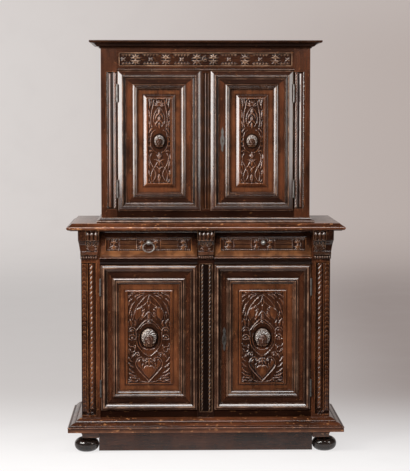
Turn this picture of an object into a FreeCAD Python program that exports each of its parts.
import FreeCAD, Part
import math
import os

from types import SimpleNamespace

from FreeCAD import Vector

# A two-tier carved cupboard in millimetres. X runs to the right, Y to the back and Z up.
# The origin is on the floor, under the middle of the whole object, and the doors face -Y.

# Heights of the stages, from the floor up
foot_height = 67.0
base_height = 61.0
lower_case_height = 871.0
slab_thickness = 34.0
upper_case_height = 801.0
cornice_height = 35.0

# Widths and depths of the two cases, which are flush at the back
lower_case_width = 1150.0
lower_case_depth = 512.5
base_projection = 62.5
upper_case_width = 964.0
upper_case_depth = 467.5
foot_mould_projection = 21.5
cornice_projection = 51.5

# Timber sizes
lower_post_width = 86.0
lower_post_depth = 60.0
centre_post_width = 78.0
rear_post_size = 60.0
upper_post_width = 73.0
upper_post_depth = 55.0
muntin_width = 42.0
rail_thickness = 27.0
side_rail_thickness = 26.0
side_rail_height = 82.0
side_panel_margin = 34.0
side_panel_rise = 7.0
back_board_thickness = 18.0
shelf_thickness = 20.0
back_board_count = 5
groove_depth = 8.0
tongue_thickness = 7.0

# Strips across the front of each post, from its outer edge, as shares of its width
lower_strip_shares = [
    (0.27, "plain"), (0.05, "sunk"), (0.13, "round"), (0.06, "sunk"), (0.24, "round"), (0.25, "plain"),
]
centre_strip_shares = [
    (0.13, "plain"), (0.18, "round"), (0.07, "sunk"), (0.24, "sunk"), (0.07, "sunk"), (0.18, "round"),
    (0.13, "plain"),
]
upper_strip_shares = [(0.4, "plain"), (0.12, "sunk"), (0.19, "round"), (0.1, "sunk"), (0.19, "round")]
muntin_strip_shares = [
    (0.1, "plain"), (0.21, "round"), (0.05, "sunk"), (0.28, "round"), (0.05, "sunk"), (0.21, "round"),
    (0.1, "plain"),
]

# Fits between pieces
fit_gap = 0.3
board_gap = 0.6
door_gap = 4.0
meeting_gap = 2.0
rail_gap = 3.0
drawer_gap = 1.5
running_clearance = 0.05
overrun = 5.0

# How finely curves are cut
round_flat_count = 24
barrel_flat_count = 12
fine_arc = 18.0
fine_arc_flat_count = 3

# Feet and plinth
bun_diameter = 114.0
bun_shares = [
    (0.61, 0.0), (0.83, 0.1), (0.96, 0.28), (1.0, 0.5), (0.96, 0.72), (0.83, 0.9), (0.61, 1.0),
]
bun_inset_x = 20.0
bun_inset_y = 35.5
rear_foot_size = 84.0
plinth_thickness = 22.0
floor_gap = 2.5

# Base moulding, on a bed that steps back over the feet
base_frame_width = 92.0
bed_height = 36.0
bed_width = 60.0
bed_projection = 22.0
base_fascia_height = 19.0
base_quirk = 4.5
base_bead_height = 6.0

# Lower case divisions
door_sill_height = 31.0
drawer_rail_height = 34.0
drawer_rail_projection = 12.0
drawer_opening_height = 116.0
rail_bead = 8.0
shelf_level_share = 0.52
door_setback = 2.5

# Brackets beside the drawers
bracket_width = 96.0
bracket_foot_width = 78.0
bracket_inset = 1.5
bracket_projection = 50.0
bracket_foot_projection = 12.0
bracket_torus = 15.0
bracket_mould = 15.0
bracket_flute_count = 4
bracket_flute_height = 44.0
bracket_flute_depth = 3.0

# Upper case divisions
foot_mould_height = 22.0
upper_sill_height = 27.0
frieze_height = 100.0
frieze_band_height = 54.0
frieze_band_drop = 24.0
frieze_band_depth = 3.0
frieze_band_margin = 13.0
frieze_bead = 7.0

# Doors
lower_door = SimpleNamespace(
    thickness=28.0, outer_mould=27.0, stile_flat=28.0, rail_flat=34.0,
    inner_mould=26.0, margin=29.0, bevel=3.0, mould_rise=13.0,
    field_rise=9.0, margin_rise=6.0, panel_drop=10.0,
    hinge_length=80.0, hinge_inset=62.0, lock_share=0.49,
    boss_width=72.0, boss_height=104.0, boss_rise=34.0, ring_width=13.0, ring_rise=9.0,
)
upper_door = SimpleNamespace(
    thickness=26.0, outer_mould=35.0, stile_flat=33.0, rail_flat=26.0,
    inner_mould=20.0, margin=28.0, bevel=13.0, mould_rise=13.0,
    field_rise=9.0, margin_rise=0.6, panel_drop=10.0,
    hinge_length=82.0, hinge_inset=62.0, lock_share=0.51,
    boss_width=52.0, boss_height=60.0, boss_rise=28.0, ring_width=7.0, ring_rise=5.0,
)
mould_reveal = 3.0
dome_shares = [(1.0, 0.0), (0.94, 0.4), (0.74, 0.78), (0.4, 1.0)]
inner_mould_seat_share = 0.54

# Ironwork
leaf_thickness = 1.6
leaf_depth = 30.0
barrel_radius = 4.5
pin_radius = 2.5
knuckle_gap = 0.4
pin_reach_share = 0.86
lock_plate_width = 19.0
lock_plate_height = 114.0
lock_plate_thickness = 1.5
lock_plate_side_shares = [
    (0.0, -1.0), (0.6, -0.8), (0.42, -0.55), (1.0, -0.28), (1.0, 0.14), (0.42, 0.42), (0.8, 0.66), (0.0, 1.0),
]
keyhole_width = 3.4
keyhole_height = 15.0
lock_case_width = 55.0
lock_case_inset = 3.0
lock_case_height = 84.0
lock_case_depth = 15.0
bolt_height = 16.0
bolt_thickness = 6.0
bolt_travel = 10.0
bolt_setback = 1.0
latch_width = 12.0
latch_thickness = 5.0
latch_length = 110.0
latch_setback = 1.0
latch_inset = 24.0
staple_height = 12.0
staple_wall = 3.0

# Drawers
drawer_rear_room = 68.0
drawer_front_thickness = 24.0
drawer_lip = 2.0
drawer_bevel = 27.0
drawer_bevel_rise = 9.0
drawer_side_thickness = 11.0
drawer_bottom_thickness = 8.0
drawer_side_inset = 2.0
drawer_side_drop = 12.0
runner_width = 26.0
runner_height = 20.0
pull_plate_radius = 11.0
pull_plate_thickness = 2.0
pull_plate_side_count = 8
pull_stem_width = 7.0
pull_neck_length = 8.0
pull_lift = 9.0
ring_half_width = 26.0
ring_half_height = 21.2
ring_ease = 0.9
ring_wire_radius = 2.6
ring_wire_side_count = 8
eye_radius = 6.0

# Levels and faces that follow from the sizes above
overall_depth = lower_case_depth + base_projection
back_y = overall_depth / 2
lower_front_y = back_y - lower_case_depth
upper_front_y = back_y - upper_case_depth
lower_half = lower_case_width / 2
upper_half = upper_case_width / 2
case_foot_z = foot_height + bed_height + base_height
slab_z = case_foot_z + lower_case_height
upper_foot_z = slab_z + slab_thickness
cornice_z = upper_foot_z + upper_case_height
lower_post_x = lower_half - lower_post_width
upper_post_x = upper_half - upper_post_width
centre_half = centre_post_width / 2
muntin_half = muntin_width / 2
lower_door_z = case_foot_z + door_sill_height + rail_gap
drawer_rail_z = slab_z - drawer_opening_height - rail_bead - drawer_rail_height
drawer_z = drawer_rail_z + drawer_rail_height
lower_door_top = drawer_rail_z - rail_gap
upper_sill_z = upper_foot_z + foot_mould_height + upper_sill_height
frieze_z = cornice_z - frieze_height
upper_door_z = upper_sill_z + rail_gap
upper_door_top = frieze_z - rail_gap


def box(x0, x1, y0, y1, z0, z1):
    """A board between two corners given in any order."""
    low = Vector(min(x0, x1), min(y0, y1), min(z0, z1))
    return Part.makeBox(abs(x1 - x0), abs(y1 - y0), abs(z1 - z0), low)


def prism(face, run):
    """A flat outline pushed along a run, always with its skin facing out."""
    shape = face.extrude(run)
    if shape.Volume < 0:
        shape.reverse()
    return shape


def rod(radius, length, start, direction):
    return Part.makeCylinder(radius, length, start, direction)


def mirrored(shape):
    """The same piece on the other side of the middle."""
    return shape.mirror(Vector(0, 0, 0), Vector(1, 0, 0))


def both_sides(shapes):
    """Each piece and its mirror image."""
    return list(shapes) + [mirrored(shape) for shape in shapes]


def fused(shapes):
    return shapes[0].multiFuse(shapes[1:]).removeSplitter()


def ring_of(middle, across, along, sides, phase_share=0.5):
    """Corners spread evenly round an oval whose two half axes are the given vectors."""
    corners = []
    for index in range(sides):
        turn = 2 * math.pi * (index + phase_share) / sides
        corners.append(middle + across * math.cos(turn) + along * math.sin(turn))
    return corners


def polygon(corners):
    return Part.Face(Part.makePolygon(corners + corners[:1]))


def banded(rings, closed=False):
    """A solid skinned with small flats between rings of corners, in order.

    A closed solid joins its last ring to its first. An open one has a flat face at each end.
    """
    pairs = list(zip(rings, rings[1:]))
    if closed:
        pairs.append((rings[-1], rings[0]))
    skin = []
    for here, there in pairs:
        for index in range(len(here)):
            after = (index + 1) % len(here)
            skin.append(polygon([here[index], here[after], there[after]]))
            skin.append(polygon([there[after], there[index], here[index]]))
    if not closed:
        skin.append(polygon(rings[0]))
        skin.append(polygon(rings[-1]))
    solid = Part.makeSolid(Part.makeShell(skin))
    if solid.Volume < 0:
        solid.reverse()
    return solid


def arc_edges(start, middle, end):
    """An arc through three places, which is laid out in flats where it is small."""
    arc = Part.Arc(start, middle, end).toShape()
    if (end - start).Length > fine_arc:
        return [arc]
    spots = arc.discretize(fine_arc_flat_count + 1)
    return [Part.LineSegment(a, b).toShape() for a, b in zip(spots, spots[1:])]


def section(points, place):
    """A closed flat outline of (u, v, bulge share) points.

    The bulge is the rise of the arc that leads to the point, as a share of its chord, and a
    share of zero is a straight run. A positive share bends to the left of the way of travel.
    """
    edges = []
    before = points[-1]
    for point in points:
        start = place(before[0], before[1])
        end = place(point[0], point[1])
        run_u = point[0] - before[0]
        run_v = point[1] - before[1]
        bulge_share = point[2]
        if bulge_share:
            middle = place(
                (before[0] + point[0]) / 2 - run_v * bulge_share,
                (before[1] + point[1]) / 2 + run_u * bulge_share,
            )
            edges += arc_edges(start, middle, end)
        else:
            edges.append(Part.LineSegment(start, end).toShape())
        before = point
    return Part.Face(Part.Wire(edges))


def mitred_length(points, start, end, inward, out, cut_start=True, cut_end=True):
    """One moulding length from start to end, with its profile's u along inward and v along out.

    Each cut end is sawn at 45 degrees, so the length shortens as u grows.
    """
    along = (end - start).normalize()
    span = (end - start).Length
    reach_u = max(abs(point[0]) for point in points) + overrun
    reach_v = max(abs(point[1]) for point in points) + overrun
    face = section(points, lambda u, v: start - along * reach_u + inward * u + out * v)
    length = prism(face, along * (span + 2 * reach_u))
    near = reach_u if cut_start else 0.0
    far = reach_u if cut_end else 0.0
    corners = [
        start - along * near - inward * reach_u,
        end + along * far - inward * reach_u,
        end - along * far + inward * reach_u,
        start + along * near + inward * reach_u,
    ]
    corners = [corner - out * reach_v for corner in corners]
    saw = prism(polygon(corners), out * 2 * reach_v)
    return length.common(saw)


def framed_moulding(points, x0, x1, z0, z1, face_y):
    """Four mitred lengths round a rectangle on a front face, the profile's u running inwards."""
    out = Vector(0, -1, 0)
    corners = [
        Vector(x0, face_y, z0),
        Vector(x1, face_y, z0),
        Vector(x1, face_y, z1),
        Vector(x0, face_y, z1),
    ]
    inwards = [Vector(0, 0, 1), Vector(-1, 0, 0), Vector(0, 0, -1), Vector(1, 0, 0)]
    lengths = []
    for index, inward in enumerate(inwards):
        following = corners[(index + 1) % len(corners)]
        lengths.append(mitred_length(points, corners[index], following, inward, out))
    return lengths


def case_moulding(points, half_width, front_y, level_z):
    """Front, left and right lengths round a case, mitred at the front corners.

    The profile's u is the distance out from the case, negative inside it, and its v the height.
    """
    up = Vector(0, 0, 1)
    left = Vector(-half_width, front_y, level_z)
    right = Vector(half_width, front_y, level_z)
    back_left = Vector(-half_width, back_y, level_z)
    back_right = Vector(half_width, back_y, level_z)
    inward_points = [(-u, v, -bulge) for u, v, bulge in points]
    front = mitred_length(inward_points, left, right, Vector(0, 1, 0), up)
    side = mitred_length(inward_points, right, back_right, Vector(-1, 0, 0), up, True, False)
    other = mitred_length(inward_points, back_left, left, Vector(1, 0, 0), up, False, True)
    return [front, side, other]


def front_rectangle(x0, x1, z0, z1, y):
    return [Vector(x0, y, z0), Vector(x1, y, z0), Vector(x1, y, z1), Vector(x0, y, z1)]


def side_rectangle(y0, y1, z0, z1, x):
    return [Vector(x, y0, z0), Vector(x, y1, z0), Vector(x, y1, z1), Vector(x, y0, z1)]


def raised_board(x0, x1, z0, z1, back, margin_y, field_margin, foot_y, field_y, bevel):
    """A fielded panel: a flat back, margins that climb to foot_y, then a bevel to the field."""
    inner = (x0 + field_margin, x1 - field_margin, z0 + field_margin, z1 - field_margin)
    top = (inner[0] + bevel, inner[1] - bevel, inner[2] + bevel, inner[3] - bevel)
    slab = box(x0, x1, back, margin_y, z0, z1)
    margin = banded([front_rectangle(x0, x1, z0, z1, margin_y), front_rectangle(*inner, foot_y)])
    field = banded([front_rectangle(*inner, foot_y), front_rectangle(*top, field_y)])
    return fused([slab, margin, field])


def save(name, shapes):
    """Write one named sub-part as a STEP file."""
    shape = shapes[0] if len(shapes) == 1 else Part.makeCompound(shapes)
    shape.exportStep(os.path.join("parts", name + ".step"))


# Stand

def bun_foot():
    """A turned ball, flattened above and below."""
    centre = Vector(lower_half - bun_inset_x, lower_front_y + bun_inset_y, 0)
    rings = []
    for radius_share, height_share in bun_shares:
        reach = bun_diameter / 2 * radius_share
        middle = centre + Vector(0, 0, foot_height * height_share)
        rings.append(ring_of(middle, Vector(reach, 0, 0), Vector(0, reach, 0), round_flat_count))
    return banded(rings)


def rear_foot():
    x1 = lower_half - fit_gap
    y1 = back_y - fit_gap
    return box(x1 - rear_foot_size, x1, y1 - rear_foot_size, y1, 0, foot_height)


def plinth_board():
    """The board between the front feet, just clear of the floor."""
    foot_x = lower_half - bun_inset_x
    reach = foot_x - bun_diameter / 2 - fit_gap
    front = lower_front_y + bun_inset_y - plinth_thickness / 2
    top = foot_height + bed_height
    return box(-reach, reach, front, front + plinth_thickness, floor_gap, top)


def bed_moulding():
    """The hollow bed under the base frame: both sides, and a short return over each front foot."""
    points = [
        (-bed_width, 0, 0),
        (0, 0, 0),
        (0, bed_height * 0.4, 0),
        (bed_projection, bed_height * 0.86, 0.2),
        (bed_projection, bed_height, 0),
        (-bed_width, bed_height, 0),
    ]
    front, side, other = case_moulding(points, lower_half, lower_front_y, foot_height)
    foot_x = lower_half - bun_inset_x
    reach = foot_x - bun_diameter / 2
    low = foot_height - overrun
    gap = box(-reach, reach, lower_front_y - base_projection, back_y, low, foot_height + bed_height + overrun)
    return front.cut(gap).Solids + [side, other]


def base_moulding():
    """Fascia, bead and quirk, then two swelling slopes up to the case."""
    bead_top = base_fascia_height + base_bead_height
    slope_out = base_projection - base_quirk
    slope_foot = bead_top + base_quirk * 0.5
    step_u = slope_out * 0.5
    step_v = slope_foot + (base_height - slope_foot) * 0.44
    points = [
        (-base_frame_width, 0, 0),
        (base_projection, 0, 0),
        (base_projection, base_fascia_height, 0),
        (base_projection - base_quirk * 0.3, bead_top, -0.4),
        (slope_out, bead_top, 0),
        (slope_out - base_quirk, slope_foot, 0),
        (step_u, step_v, -0.12),
        (step_u - base_quirk * 0.4, step_v + base_quirk * 0.4, 0),
        (base_quirk, base_height, -0.1),
        (-base_frame_width, base_height, 0),
    ]
    return case_moulding(points, lower_half, lower_front_y, foot_height + bed_height)


# Lower case

def strip_section(points, z0, z1):
    """A post's moulded length, from an outline in plan."""
    return prism(section(points, lambda u, v: Vector(u, v, z0)), Vector(0, 0, z1 - z0))


def moulded_post(x_out, width, depth, front_y, strips, z0, moulded_z0, moulded_z1, z1):
    """A post whose front carries upright reeds and ropes let into it between two plain blocks.

    Strips run from the outer edge inwards as (share of the width, kind), and the outer edge is
    at x_out on the right-hand side.
    """
    groove = depth * 0.09
    outline = [(x_out, front_y + depth, 0), (x_out, front_y, 0)]
    x = x_out
    for share, kind in strips:
        next_x = x - width * share
        if kind == "round":
            outline += [(x, front_y + groove, 0), (next_x, front_y + groove, groove / (x - next_x))]
        elif kind == "sunk":
            outline += [(x, front_y + groove, 0), (next_x, front_y + groove, 0)]
        else:
            outline += [(x, front_y, 0), (next_x, front_y, 0)]
        x = next_x
    outline.append((x_out - width, front_y + depth, 0))
    cleaned = [outline[0]]
    for point in outline[1:]:
        if math.dist(point[:2], cleaned[-1][:2]) > fit_gap:
            cleaned.append(point)
    shaft = strip_section(cleaned, moulded_z0, moulded_z1)
    foot = box(x_out - width, x_out, front_y, front_y + depth, z0, moulded_z0)
    head = box(x_out - width, x_out, front_y, front_y + depth, moulded_z1, z1)
    return fused([foot, shaft, head])


def lower_front_post():
    """A corner post with a beaded strip, a reed and a rope moulding."""
    foot_block = lower_post_width * 0.62
    head_block = lower_post_width * 0.38
    moulded_z0 = case_foot_z + foot_block
    moulded_z1 = drawer_rail_z - head_block * 0.2
    post = moulded_post(
        lower_half, lower_post_width, lower_post_depth, lower_front_y, lower_strip_shares,
        case_foot_z, moulded_z0, moulded_z1, slab_z)
    return post


def lower_centre_post():
    """The middle post: two ropes beside a sunk flute, with a mortise for the lock bolt."""
    foot_block = lower_post_width * 0.62
    post = moulded_post(
        centre_half, centre_post_width, lower_post_depth, lower_front_y, centre_strip_shares,
        case_foot_z, case_foot_z + foot_block, drawer_rail_z, slab_z)
    return post.cut(bolt_mortise(centre_half, lower_door))


def bolt_mortise(post_face_x, door):
    """The hole in a middle post that a thrown lock bolt enters."""
    depth = bolt_travel + bolt_setback
    half_height = bolt_height / 2 + 2 * fit_gap
    return box(
        post_face_x - depth, post_face_x + overrun, door.bolt_y - 2 * fit_gap,
        door.bolt_y + bolt_thickness + 2 * fit_gap, door.lock_z - half_height, door.lock_z + half_height)


def lower_rear_post():
    x1 = lower_half
    return box(x1 - rear_post_size, x1, back_y - rear_post_size, back_y, case_foot_z, slab_z)


def lower_sill():
    """The rail under one lower door."""
    return box(
        centre_half, lower_post_x, lower_front_y + door_setback,
        lower_front_y + door_setback + rail_thickness, case_foot_z, case_foot_z + door_sill_height)


def drawer_rail():
    """The rail over one lower door, with a bead over a hollow over a small bead."""
    face_y = lower_front_y + door_setback
    out = drawer_rail_projection + door_setback
    high = drawer_rail_height
    points = [
        (0, 0, 0),
        (-out * 0.45, 0, 0),
        (-out * 0.45, high * 0.22, 0.45),
        (-out * 0.3, high * 0.26, 0),
        (-out * 0.75, high * 0.74, -0.2),
        (-out, high * 0.76, 0),
        (-out, high, 0.42),
        (rail_thickness, high, 0),
        (rail_thickness, 0, 0),
    ]
    face = section(points, lambda u, v: Vector(centre_half, face_y + u, drawer_rail_z + v))
    return prism(face, Vector(lower_post_x - centre_half, 0, 0))


def top_strip():
    """The thin rail between a drawer and the slab."""
    return box(
        centre_half, lower_post_x, lower_front_y + door_setback,
        lower_front_y + door_setback + rail_thickness, slab_z - rail_bead, slab_z)


def bracket(centre_x, width, foot_width):
    """A scrolled bracket beside the drawers: flutes over a leaf, then a bead and a torus."""
    face_y = lower_front_y
    foot_z = drawer_z - bracket_torus * 0.55
    torus_top = foot_z + bracket_torus
    mould_top = torus_top + bracket_mould
    throat_z = mould_top + (slab_z - mould_top) * 0.35
    flute_z = slab_z - bracket_flute_height
    foot_out = bracket_foot_projection
    profile = [
        (0, mould_top, 0),
        (-foot_out, mould_top, 0),
        (-foot_out * 1.3, throat_z, 0.06),
        (-bracket_projection * 0.86, flute_z, -0.12),
        (-bracket_projection, slab_z - bracket_mould * 0.4, 0.16),
        (-bracket_projection, slab_z, 0),
        (0, slab_z, 0),
    ]
    half = width / 2
    side_face = section(profile, lambda u, v: Vector(centre_x - half, face_y + u, v))
    body = prism(side_face, Vector(width, 0, 0))
    half_foot = foot_width / 2
    outline = [
        (-half_foot, mould_top, 0),
        (half_foot, mould_top, 0),
        (half, flute_z, 0),
        (half, slab_z, 0),
        (-half, slab_z, 0),
        (-half, flute_z, 0),
    ]
    deep = bracket_projection + overrun
    front_face = section(outline, lambda u, v: Vector(centre_x + u, face_y - deep, v))
    body = body.common(prism(front_face, Vector(0, 2 * deep, 0)))
    pitch = width / bracket_flute_count
    flute_radius = pitch * 0.36
    for index in range(bracket_flute_count):
        flute_x = centre_x - half + pitch * (index + 0.5)
        flute_y = face_y - bracket_projection - flute_radius + bracket_flute_depth
        reach = (Vector(flute_radius, 0, 0), Vector(0, flute_radius, 0))
        groove_end = polygon(ring_of(Vector(flute_x, flute_y, flute_z), *reach, barrel_flat_count))
        body = body.cut(prism(groove_end, Vector(0, 0, bracket_flute_height)))
    bead_points = [
        (0, torus_top, 0),
        (-foot_out * 0.9, torus_top, 0),
        (-foot_out * 1.5, (mould_top + torus_top) / 2, -0.1),
        (-foot_out * 1.5, mould_top, 0.3),
        (0, mould_top, 0),
    ]
    torus_points = [
        (0, foot_z, 0),
        (-foot_out * 0.7, foot_z, 0),
        (-foot_out * 0.7, torus_top, 0.45),
        (0, torus_top, 0),
    ]
    across = Vector(foot_width, 0, 0)
    mouldings = []
    for points in (bead_points, torus_points):
        end_face = section(points, lambda u, v: Vector(centre_x - half_foot, face_y + u, v))
        mouldings.append(prism(end_face, across))
    return fused([body] + mouldings)


def brackets():
    side_x = lower_half - lower_post_width + bracket_inset + bracket_width / 2
    side = bracket(side_x, bracket_width, bracket_foot_width)
    middle = bracket(0, centre_post_width - 2 * fit_gap, centre_post_width * 0.9)
    return both_sides([side]) + [middle]


def panelled_side(half_width, front_end, rear_end, z0, z1, rail_levels):
    """Rails between the posts of one side and a fielded panel let into grooves between them."""
    outer_x = half_width - door_setback
    inner_x = outer_x - side_rail_thickness
    groove_y = outer_x - side_rail_thickness / 2
    pieces = []
    panels = []
    for low, high in rail_levels:
        pieces.append(box(inner_x, outer_x, front_end, rear_end, low, high))
    for below, above in zip(rail_levels, rail_levels[1:]):
        low = below[1] - groove_depth + fit_gap
        high = above[0] + groove_depth - fit_gap
        y0 = front_end + fit_gap
        y1 = rear_end - fit_gap
        edge = side_panel_margin
        tongue_x = groove_y + tongue_thickness / 2
        back_x = groove_y - tongue_thickness / 2
        slab = box(back_x, tongue_x, y0, y1, low, high)
        raised = banded([
            side_rectangle(y0, y1, low, high, tongue_x),
            side_rectangle(y0 + edge, y1 - edge, low + edge, high - edge, tongue_x + side_panel_rise),
        ])
        raised = raised.common(box(tongue_x, outer_x, y0, y1, below[1], above[0]))
        panel = fused([slab, raised])
        panels.append(panel)
        groove = box(
            back_x - fit_gap, tongue_x + fit_gap, front_end - overrun, rear_end + overrun,
            low - fit_gap, high + fit_gap)
        pieces = [piece.cut(groove) for piece in pieces]
    return pieces, panels


def side_levels(z0, z1, middle):
    """Bottom and top rails, with a middle rail where one is wanted."""
    levels = [(z0, z0 + side_rail_height)]
    if middle:
        levels.append(middle)
    levels.append((z1 - side_rail_height * 0.6, z1))
    return levels


def back_boards(half_width, post_size, z0, z1):
    """Upright boards between the rear posts."""
    inner = half_width - post_size - board_gap
    pitch = 2 * inner / back_board_count
    boards = []
    for index in range(back_board_count):
        left = -inner + pitch * index
        boards.append(box(
            left, left + pitch - board_gap, back_y - back_board_thickness - door_setback,
            back_y - door_setback, z0, z1))
    return boards


def shelf(half_width, front_post_depth, front_y, rear_size, level_z):
    """A shelf board that lies between the posts and the sides."""
    inner_x = half_width - door_setback - side_rail_thickness - board_gap
    return box(
        -inner_x, inner_x, front_y + front_post_depth + board_gap,
        back_y - rear_size - board_gap, level_z, level_z + shelf_thickness)


def floor_board(half_width, front_y, back_face, level_z, post_x, post_depth, rear_size, middle_half):
    """The bottom board of a case, notched round its posts."""
    inner_x = half_width - door_setback - side_rail_thickness - board_gap
    board = box(
        -inner_x, inner_x, front_y + door_setback + rail_thickness + board_gap, back_face - board_gap,
        level_z, level_z + shelf_thickness)
    high = level_z + shelf_thickness + overrun
    rear_x = half_width - rear_size - board_gap
    low = level_z - overrun
    notch_y = front_y + post_depth + board_gap
    cuts = [
        box(post_x - board_gap, half_width, front_y, notch_y, low, high),
        box(rear_x, half_width, back_y - rear_size - board_gap, back_y, low, high),
    ]
    middle = box(-middle_half - board_gap, middle_half + board_gap, front_y, notch_y, low, high)
    for cut in both_sides(cuts) + [middle]:
        board = board.cut(cut)
    return board


# Slab and upper case

def waist_slab():
    """The board over the lower case, moulded on the front and both ends."""
    out = base_projection
    under = slab_thickness * 0.14
    tip = slab_thickness * 0.42
    lip = slab_thickness * 0.54
    points = [
        (-base_frame_width, 0, 0),
        (out * 0.72, 0, 0),
        (out * 0.78, under, 0),
        (out, tip, -0.16),
        (out, lip, -0.3),
        (out * 0.64, slab_thickness, 0.08),
        (-base_frame_width, slab_thickness, 0),
    ]
    lengths = case_moulding(points, lower_half, lower_front_y, slab_z)
    inner = box(
        -lower_half + base_frame_width, lower_half - base_frame_width,
        lower_front_y + base_frame_width, back_y, slab_z, upper_foot_z)
    return fused(lengths + [inner])


def upper_foot_moulding():
    """A torus and a hollow round the foot of the upper case."""
    out = foot_mould_projection
    high = foot_mould_height
    points = [
        (fit_gap, 0, 0),
        (out * 0.9, 0, 0),
        (out * 0.9, high * 0.42, -0.42),
        (out * 0.6, high * 0.5, 0),
        (out * 0.22, high * 0.88, 0.2),
        (out * 0.22, high, 0),
        (fit_gap, high, 0),
    ]
    return case_moulding(points, upper_half, upper_front_y, upper_foot_z)


def upper_front_post():
    """A corner post with a leafy groove, a reed and a beaded rope."""
    moulded_z0 = upper_door_z + upper_post_width * 0.24
    moulded_z1 = upper_door_top - upper_post_width * 0.14
    return moulded_post(
        upper_half, upper_post_width, upper_post_depth, upper_front_y, upper_strip_shares,
        upper_foot_z, moulded_z0, moulded_z1, cornice_z)


def upper_muntin():
    """The reeded upright between the upper doors, with a mortise for the lock bolt."""
    post = moulded_post(
        muntin_half, muntin_width, upper_post_depth, upper_front_y, muntin_strip_shares,
        upper_sill_z, upper_sill_z + muntin_width * 0.3, frieze_z - muntin_width * 0.3, frieze_z)
    return post.cut(bolt_mortise(muntin_half, upper_door))


def upper_rear_post():
    x1 = upper_half
    return box(x1 - rear_post_size, x1, back_y - rear_post_size, back_y, upper_foot_z, cornice_z)


def upper_sill():
    face_y = upper_front_y + door_setback
    return box(
        -upper_post_x, upper_post_x, face_y, face_y + rail_thickness, upper_foot_z, upper_sill_z)


def frieze_rail():
    """The rail over the upper doors: a bead at its foot and a sunk band for the carving."""
    rail = box(
        -upper_post_x, upper_post_x, upper_front_y, upper_front_y + rail_thickness, frieze_z, cornice_z)
    band_top = cornice_z - frieze_band_drop
    band = box(
        -upper_post_x + frieze_band_margin, upper_post_x - frieze_band_margin,
        upper_front_y - overrun, upper_front_y + frieze_band_depth, band_top - frieze_band_height, band_top)
    rail = rail.cut(band)
    bead = section(
        [(0, 0, 0), (0, frieze_bead, 0), (-fit_gap, frieze_bead, 0), (-fit_gap, 0, -0.45)],
        lambda u, v: Vector(-upper_post_x, upper_front_y + u, frieze_z + v))
    return fused([rail, prism(bead, Vector(2 * upper_post_x, 0, 0))])


def cornice():
    """Three mitred lengths: a fillet, an ogee and a plain lip."""
    out = cornice_projection
    high = cornice_height
    points = [
        (-upper_post_depth, 0, 0),
        (out * 0.1, 0, 0),
        (out * 0.14, high * 0.2, 0),
        (out * 0.46, high * 0.44, -0.16),
        (out * 0.86, high * 0.68, 0.14),
        (out * 0.94, high * 0.7, 0),
        (out, high * 0.78, 0),
        (out, high, 0),
        (-upper_post_depth, high, 0),
    ]
    return case_moulding(points, upper_half, upper_front_y, cornice_z)


def top_board():
    """The boarded top inside the cornice."""
    inner_x = upper_half - upper_post_depth - board_gap
    front = upper_front_y + upper_post_depth + board_gap
    return box(-inner_x, inner_x, front, back_y, cornice_z, cornice_z + shelf_thickness)


# Doors. Each is drawn for the right-hand side and mirrored for the left.

def place_door(door, middle_half, post_x, front_y, z0, z1):
    """Adds the edges, levels, faces and hinge axis of a right-hand door to its sizes."""
    door.x0 = middle_half + meeting_gap
    door.x1 = post_x - door_gap
    door.z0 = z0
    door.z1 = z1
    door.face_y = front_y + door_setback
    door.back_y = door.face_y + door.thickness
    door.axis = Vector(post_x - door_gap / 2, front_y - barrel_radius - fit_gap / 2, 0)
    door.lock_z = z0 + (z1 - z0) * door.lock_share
    door.bolt_y = door.back_y + (lock_case_depth - bolt_thickness) / 2


def door_frame(door):
    """Two stiles and two rails, grooved for the panel."""
    seat = door.inner_mould * inner_mould_seat_share
    stile = mould_reveal + door.outer_mould + door.stile_flat + seat
    rail = mould_reveal + door.outer_mould + door.rail_flat + seat
    back = door.back_y
    pieces = [
        box(door.x0, door.x0 + stile, door.face_y, back, door.z0, door.z1),
        box(door.x1 - stile, door.x1, door.face_y, back, door.z0, door.z1),
        box(door.x0 + stile, door.x1 - stile, door.face_y, back, door.z0, door.z0 + rail),
        box(door.x0 + stile, door.x1 - stile, door.face_y, back, door.z1 - rail, door.z1),
    ]
    tongue_y = door.face_y + door.panel_drop
    groove = box(
        door.x0 + stile - groove_depth, door.x1 - stile + groove_depth, tongue_y - fit_gap,
        tongue_y + tongue_thickness + fit_gap, door.z0 + rail - groove_depth, door.z1 - rail + groove_depth)
    return [piece.cut(groove) for piece in pieces]


def door_panel(door):
    """The fielded panel, its tongue in the frame's groove."""
    seat = door.inner_mould * inner_mould_seat_share
    lap = door.inner_mould - seat
    stile = mould_reveal + door.outer_mould + door.stile_flat + seat
    rail = mould_reveal + door.outer_mould + door.rail_flat + seat
    tongue_y = door.face_y + door.panel_drop
    reach = groove_depth - fit_gap
    tongue = box(
        door.x0 + stile - reach, door.x1 - stile + reach, tongue_y, tongue_y + tongue_thickness,
        door.z0 + rail - reach, door.z1 - rail + reach)
    margin_y = tongue_y - door.margin_rise
    field_y = tongue_y - door.field_rise
    raised = raised_board(
        door.x0 + stile + lap, door.x1 - stile - lap, door.z0 + rail + lap, door.z1 - rail - lap,
        tongue_y + tongue_thickness / 2, tongue_y, door.margin, margin_y, field_y, door.bevel)
    return fused([tongue, raised])


def outer_mould_points(door):
    """Bevel, quirk and bead round the edge of a door."""
    wide = door.outer_mould
    rise = door.mould_rise
    return [
        (0, 0, 0),
        (0, rise * 0.3, 0),
        (wide * 0.46, rise * 0.92, 0.08),
        (wide * 0.54, rise * 0.92, 0),
        (wide * 0.58, rise * 0.66, 0),
        (wide * 0.88, rise * 0.6, 0.42),
        (wide * 0.92, rise * 0.3, 0),
        (wide, rise * 0.22, 0),
        (wide, 0, 0),
    ]


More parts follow.
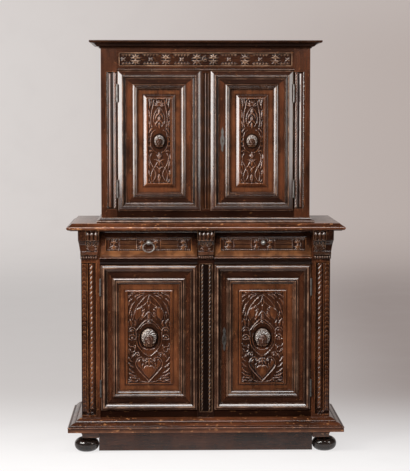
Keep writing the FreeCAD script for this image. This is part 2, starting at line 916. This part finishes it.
def inner_mould_points(door):
    """A bead and an ogee that step down from the frame onto the panel."""
    wide = door.inner_mould
    rise = door.mould_rise
    seat = wide * inner_mould_seat_share + fit_gap
    drop = door.panel_drop - fit_gap
    return [
        (0, 0, 0),
        (0, rise * 0.3, 0),
        (wide * 0.1, rise * 0.34, 0),
        (wide * 0.42, rise * 0.72, 0.3),
        (wide * 0.5, rise * 0.5, 0),
        (wide * 0.92, -drop * 0.45, -0.14),
        (wide, -drop * 0.5, 0),
        (wide, -drop, 0),
        (seat, -drop, 0),
        (seat, 0, 0),
    ]


def door_mouldings(door):
    """The two sets of four mitred lengths planted on a door."""
    edge = mould_reveal
    outer = framed_moulding(
        outer_mould_points(door), door.x0 + edge, door.x1 - edge, door.z0 + edge, door.z1 - edge, door.face_y)
    edge_x = mould_reveal + door.outer_mould + door.stile_flat
    edge_z = mould_reveal + door.outer_mould + door.rail_flat
    inner = framed_moulding(
        inner_mould_points(door), door.x0 + edge_x, door.x1 - edge_x, door.z0 + edge_z, door.z1 - edge_z,
        door.face_y)
    return outer + inner


def oval(centre, half_x, half_z):
    return ring_of(centre, Vector(half_x, 0, 0), Vector(0, 0, half_z), round_flat_count)


def door_boss(door):
    """An oval frame with a domed head, planted on the middle of the field."""
    seat_y = door.face_y + door.panel_drop - door.field_rise
    middle_x = (door.x0 + door.x1) / 2
    middle_z = (door.z0 + door.z1) / 2
    half_x = door.boss_width / 2
    half_z = door.boss_height / 2
    brow_y = seat_y - door.ring_rise
    rings = [
        oval(Vector(middle_x, seat_y, middle_z), half_x, half_z),
        oval(Vector(middle_x, brow_y, middle_z), half_x, half_z),
    ]
    head_share = 1 - door.ring_width / half_x
    head_rise = door.boss_rise - door.ring_rise
    for width_share, rise_share in dome_shares:
        place = Vector(middle_x, brow_y - head_rise * rise_share, middle_z)
        reach_share = head_share * width_share
        rings.append(oval(place, half_x * reach_share, half_z * reach_share))
    return banded(rings)


# Ironwork

def barrel(foot, height):
    """A hinge barrel, filed to narrow flats."""
    reach = (Vector(barrel_radius, 0, 0), Vector(0, barrel_radius, 0))
    return prism(polygon(ring_of(foot, *reach, barrel_flat_count)), Vector(0, 0, height))


def hinge_parts(door):
    """The two lift-off hinges of a right-hand door.

    The lower half has its leaf on the post and carries the pin, and the upper half is bored for
    the pin and has its leaf on the door.
    """
    post_x = door.x1 + door_gap
    length = door.hinge_length
    rear = door.face_y + leaf_depth - door_setback
    up = Vector(0, 0, 1)
    case_halves = []
    door_halves = []
    for low in (door.z0 + door.hinge_inset, door.z1 - door.hinge_inset - length):
        middle = low + length / 2
        pin_top = low + length * pin_reach_share
        case_leaf = box(post_x - leaf_thickness, post_x, door.axis.y, rear, low, middle - knuckle_gap)
        case_barrel = barrel(Vector(door.axis.x, door.axis.y, low), length / 2 - knuckle_gap)
        pin = rod(pin_radius, pin_top - low, Vector(door.axis.x, door.axis.y, low), up)
        case_halves.append(fused([case_leaf, case_barrel, pin]))
        door_leaf = box(door.x1, door.x1 + leaf_thickness, door.axis.y, rear, middle, low + length)
        door_barrel = barrel(Vector(door.axis.x, door.axis.y, middle), length / 2)
        bore_length = pin_top - middle + knuckle_gap
        bore = rod(pin_radius + running_clearance, bore_length, Vector(door.axis.x, door.axis.y, middle), up)
        door_halves.append(fused([door_leaf, door_barrel]).cut(bore))
    return case_halves, door_halves


def keyhole(plate_x, lock_z, front_y, back_y_end):
    """A round eye over a straight slot."""
    half = keyhole_width / 2
    eye = rod(half, back_y_end - front_y, Vector(plate_x, front_y, lock_z), Vector(0, 1, 0))
    slot_half = half * 0.6
    slot = box(plate_x - slot_half, plate_x + slot_half, front_y, back_y_end, lock_z - keyhole_height, lock_z)
    return eye.fuse(slot)


def lock_plate(plate_x, lock_z, face_y):
    """A thin plate, waisted above and below the keyhole, with a point at each end."""
    half_w = lock_plate_width / 2
    half_h = lock_plate_height / 2
    right = [(u * half_w, v * half_h, 0) for u, v in lock_plate_side_shares]
    left = [(-point[0], point[1], 0) for point in reversed(right[1:-1])]
    face = section(right + left, lambda u, v: Vector(plate_x + u, face_y, lock_z + v))
    return prism(face, Vector(0, -lock_plate_thickness, 0))


def lock(door):
    """The pierced plate outside, and the lock case inside with its bolt way."""
    plate_x = door.x0 + mould_reveal + door.outer_mould + door.stile_flat / 2
    back = door.back_y
    plate = lock_plate(plate_x, door.lock_z, door.face_y)
    plate = plate.cut(
        keyhole(plate_x, door.lock_z, door.face_y - 2 * lock_plate_thickness, door.face_y + overrun))
    half_height = lock_case_height / 2
    start = door.x0 + lock_case_inset
    case = box(
        start, start + lock_case_width, back, back + lock_case_depth,
        door.lock_z - half_height, door.lock_z + half_height)
    way = bolt_box(door, fit_gap)
    return [plate, case.cut(way)]


def bolt_box(door, ease):
    """The space that a lock bolt fills at rest, grown by a clearance."""
    half = bolt_height / 2
    start = door.x0 + bolt_setback
    if ease:
        start = door.x0 - overrun
    end = door.x0 + lock_case_width - overrun
    return box(
        start, end + ease, door.bolt_y - ease, door.bolt_y + bolt_thickness + ease,
        door.lock_z - half - ease, door.lock_z + half + ease)


def latch_place(door):
    """Centre line, back face and top end of the sliding latch on a left door, drawn on the right."""
    return door.x0 + latch_inset, door.back_y, door.z1 - latch_setback


def latch_bolt(door):
    """A flat iron bolt inside a left door, shot up behind the rail."""
    x, back, top = latch_place(door)
    half = latch_width / 2
    y0 = back + fit_gap
    bar = box(x - half, x + half, y0, y0 + latch_thickness, top - latch_length, top)
    knob_foot = Vector(x, y0 + latch_thickness, top - latch_length / 2)
    knob = rod(latch_thickness * 0.7, staple_height, knob_foot, Vector(0, 1, 0))
    return fused([bar, knob])


def latch_staples(door):
    """Two staples that hold the latch bolt against the door."""
    x, back, top = latch_place(door)
    half = latch_width / 2
    ease = fit_gap
    staples = []
    outer = half + ease + staple_wall
    deep = latch_thickness + 2 * ease + staple_wall
    for level in (top - staple_height - latch_setback, top - latch_length * 0.75):
        block = box(x - outer, x + outer, back, back + deep, level, level + staple_height)
        way = box(
            x - half - ease, x + half + ease, back - overrun, back + latch_thickness + 2 * ease,
            level - overrun, level + staple_height + overrun)
        staples.append(block.cut(way))
    return staples


# Drawers, drawn on the right

def drawer_extent():
    """Ends, bottom and top of a drawer front."""
    return (
        centre_half + drawer_gap, lower_post_x - drawer_gap,
        drawer_z + drawer_gap, slab_z - rail_bead - drawer_gap)


def drawer_front():
    """A raised and bevelled field, with the box butted against its back."""
    x0, x1, z0, z1 = drawer_extent()
    return raised_board(
        x0, x1, z0, z1, lower_front_y + drawer_front_thickness, lower_front_y, drawer_lip,
        lower_front_y - fit_gap, lower_front_y - drawer_bevel_rise, drawer_bevel)


def drawer_box():
    """Two sides, a back and a bottom behind the front, each its own board."""
    x0, x1, z0, z1 = drawer_extent()
    side_x0 = x0 + drawer_side_inset
    side_x1 = x1 - drawer_side_inset
    front = lower_front_y + drawer_front_thickness
    rear = back_y - door_setback - back_board_thickness - drawer_rear_room
    top = z1 - drawer_side_drop
    side = drawer_side_thickness
    floor_top = z0 + drawer_bottom_thickness
    return [
        box(side_x0, side_x0 + side, front, rear, floor_top, top),
        box(side_x1 - side, side_x1, front, rear, floor_top, top),
        box(side_x0 + side, side_x1 - side, rear - side, rear, floor_top, top),
        box(side_x0, side_x1, front, rear, z0, floor_top),
    ]


def drawer_runners():
    """Bearers under each drawer, from the rail to the rear, and the upright guides between them."""
    front = lower_front_y + door_setback + rail_thickness
    rear = back_y - rear_post_size
    low = drawer_z - runner_height
    top = drawer_z + drawer_gap - fit_gap
    post_back = lower_front_y + lower_post_depth
    outer_x = lower_half - door_setback - side_rail_thickness
    pieces = both_sides([
        box(lower_post_x - runner_width, lower_post_x, front, rear, low, top),
    ])
    outer_bearer = box(lower_post_x, outer_x, post_back, rear, low, top)
    pieces += both_sides([outer_bearer])
    middle = box(-centre_half - runner_width, centre_half + runner_width, post_back, rear, low, top)
    pieces.append(middle)
    pieces += both_sides([box(centre_half, centre_half + runner_width, front, post_back, low, top)])
    guide = box(-centre_half + fit_gap, centre_half - fit_gap, post_back, rear, top, top + runner_height)
    pieces.append(guide)
    rear_post_x = lower_half - rear_post_size
    cross = box(-rear_post_x + board_gap, rear_post_x - board_gap, rear, rear + runner_width, low, top)
    pieces.append(cross)
    return pieces


def pull_place():
    """The middle of a drawer's field, where its pull is fixed."""
    x0, x1, z0, z1 = drawer_extent()
    middle = (z0 + z1) / 2
    level = middle + pull_lift
    return Vector((x0 + x1) / 2, lower_front_y - drawer_bevel_rise, level)


def pull_mount():
    """An eight-sided plate and a square stem that ends in a round eye, bored across for a ring."""
    place = pull_place()
    ahead = Vector(0, -1, 0)
    reach = (Vector(pull_plate_radius, 0, 0), Vector(0, 0, pull_plate_radius))
    plate = prism(polygon(ring_of(place, *reach, pull_plate_side_count)), ahead * pull_plate_thickness)
    half = pull_stem_width / 2
    neck_y = place.y - pull_neck_length
    stem = box(place.x - half, place.x + half, neck_y, place.y, place.z - half, place.z + half)
    eye_centre = place + ahead * (pull_neck_length + eye_radius * 0.4)
    across = Vector(1, 0, 0)
    eye = rod(eye_radius, 2 * half, eye_centre - across * half, across)
    bore_start = eye_centre - across * pull_stem_width
    bore = rod(ring_wire_radius + ring_ease, 2 * pull_stem_width, bore_start, across)
    return fused([plate, stem, eye]).cut(bore), eye_centre


def drop_ring(eye_centre):
    """An oval ring forged in small flats, hanging from the eye with its wire through the bore."""
    centre = eye_centre - Vector(0, 0, ring_half_height)
    rings = []
    for index in range(round_flat_count):
        turn = 2 * math.pi * index / round_flat_count + math.pi / 2
        middle = centre + Vector(ring_half_width * math.cos(turn), 0, ring_half_height * math.sin(turn))
        outward = Vector(ring_half_height * math.cos(turn), 0, ring_half_width * math.sin(turn))
        reach = (outward.normalize() * ring_wire_radius, Vector(0, ring_wire_radius, 0))
        rings.append(ring_of(middle, *reach, ring_wire_side_count))
    return banded(rings, True)


def save_doors():
    """Both doors of each case with their planted work and ironwork."""
    case_ironwork = []
    for tier, door in (("lower", lower_door), ("upper", upper_door)):
        case_halves, door_halves = hinge_parts(door)
        case_ironwork += both_sides(case_halves)
        right = {
            "door_frame": door_frame(door),
            "door_mouldings": door_mouldings(door),
            "door_panel": [door_panel(door)],
            "door_head": [door_boss(door)],
        }
        for piece, shapes in right.items():
            save(tier + "_right_" + piece, shapes)
            save(tier + "_left_" + piece, [mirrored(shape) for shape in shapes])
        staples = latch_staples(door)
        save(tier + "_right_door_hinges", door_halves)
        save(tier + "_left_door_ironwork", [mirrored(shape) for shape in door_halves + staples])
        save(tier + "_right_lock", lock(door))
        save(tier + "_right_lock_bolt", [bolt_box(door, 0)])
        save(tier + "_left_latch_bolt", [mirrored(latch_bolt(door))])
    save("case_hinge_halves", case_ironwork)


def save_drawers():
    """Two drawers, a ring on the left one and its bare mount on the right one."""
    front = drawer_front()
    boards = drawer_box()
    pierced, eye_centre = pull_mount()
    left_eye = Vector(-eye_centre.x, eye_centre.y, eye_centre.z)
    save("right_drawer_front", [front])
    save("left_drawer_front", [mirrored(front)])
    save("right_drawer_box", boards)
    save("left_drawer_box", [mirrored(board) for board in boards])
    save("right_drawer_pull_mount", [pierced])
    save("left_drawer_pull_mount", [mirrored(pierced)])
    save("left_drawer_ring", [drop_ring(left_eye)])


def save_lower_case():
    post_back = lower_front_y + lower_post_depth
    rear_face = back_y - rear_post_size
    save("bun_feet", both_sides([bun_foot()]))
    save("rear_feet", both_sides([rear_foot()]))
    save("plinth_board", [plinth_board()])
    save("bed_moulding", bed_moulding())
    save("base_moulding", base_moulding())
    save("lower_front_posts", both_sides([lower_front_post()]))
    save("lower_centre_post", [lower_centre_post()])
    save("lower_rear_posts", both_sides([lower_rear_post()]))
    save("lower_front_rails", both_sides([lower_sill(), top_strip()]))
    save("drawer_rail", both_sides([drawer_rail()]))
    save("corner_brackets", brackets())
    middle = (drawer_rail_z - side_rail_height * 0.4, drawer_z)
    rails, panels = panelled_side(
        lower_half, post_back, rear_face, case_foot_z, slab_z, side_levels(case_foot_z, slab_z, middle))
    save("lower_back_boards", back_boards(lower_half, rear_post_size, case_foot_z, slab_z))
    back_face = back_y - door_setback - back_board_thickness
    bottom = floor_board(
        lower_half, lower_front_y, back_face, case_foot_z, lower_post_x, lower_post_depth,
        rear_post_size, centre_half)
    level = lower_door_z + (lower_door_top - lower_door_z) * shelf_level_share
    shelf_board = shelf(lower_half, lower_post_depth, lower_front_y, rear_post_size, level)
    save("lower_bottom_and_shelf", [bottom, shelf_board])
    save("drawer_runners", drawer_runners())
    save("waist_slab", [waist_slab()])
    return rails, panels


def save_upper_case():
    post_back = upper_front_y + upper_post_depth
    rear_face = back_y - rear_post_size
    save("upper_foot_moulding", upper_foot_moulding())
    save("upper_front_posts", both_sides([upper_front_post()]))
    save("upper_muntin", [upper_muntin()])
    save("upper_rear_posts", both_sides([upper_rear_post()]))
    save("upper_sill", [upper_sill()])
    save("frieze_rail", [frieze_rail()])
    rails, panels = panelled_side(
        upper_half, post_back, rear_face, upper_foot_z, cornice_z, side_levels(upper_foot_z, cornice_z, None))
    save("upper_back_boards", back_boards(upper_half, rear_post_size, upper_foot_z, cornice_z))
    back_face = back_y - door_setback - back_board_thickness
    bottom = floor_board(
        upper_half, upper_front_y, back_face, upper_foot_z, upper_post_x, upper_post_depth,
        rear_post_size, muntin_half)
    level = upper_door_z + (upper_door_top - upper_door_z) * shelf_level_share
    shelf_board = shelf(upper_half, upper_post_depth, upper_front_y, rear_post_size, level)
    save("upper_bottom_shelf_and_top", [bottom, shelf_board, top_board()])
    save("cornice", cornice())
    return rails, panels


os.makedirs("parts", exist_ok=True)
place_door(lower_door, centre_half, lower_post_x, lower_front_y, lower_door_z, lower_door_top)
place_door(upper_door, muntin_half, upper_post_x, upper_front_y, upper_door_z, upper_door_top)
lower_rails, lower_panels = save_lower_case()
upper_rails, upper_panels = save_upper_case()
save("side_rails", both_sides(lower_rails + upper_rails))
save("side_panels", both_sides(lower_panels + upper_panels))
save_doors()
save_drawers()
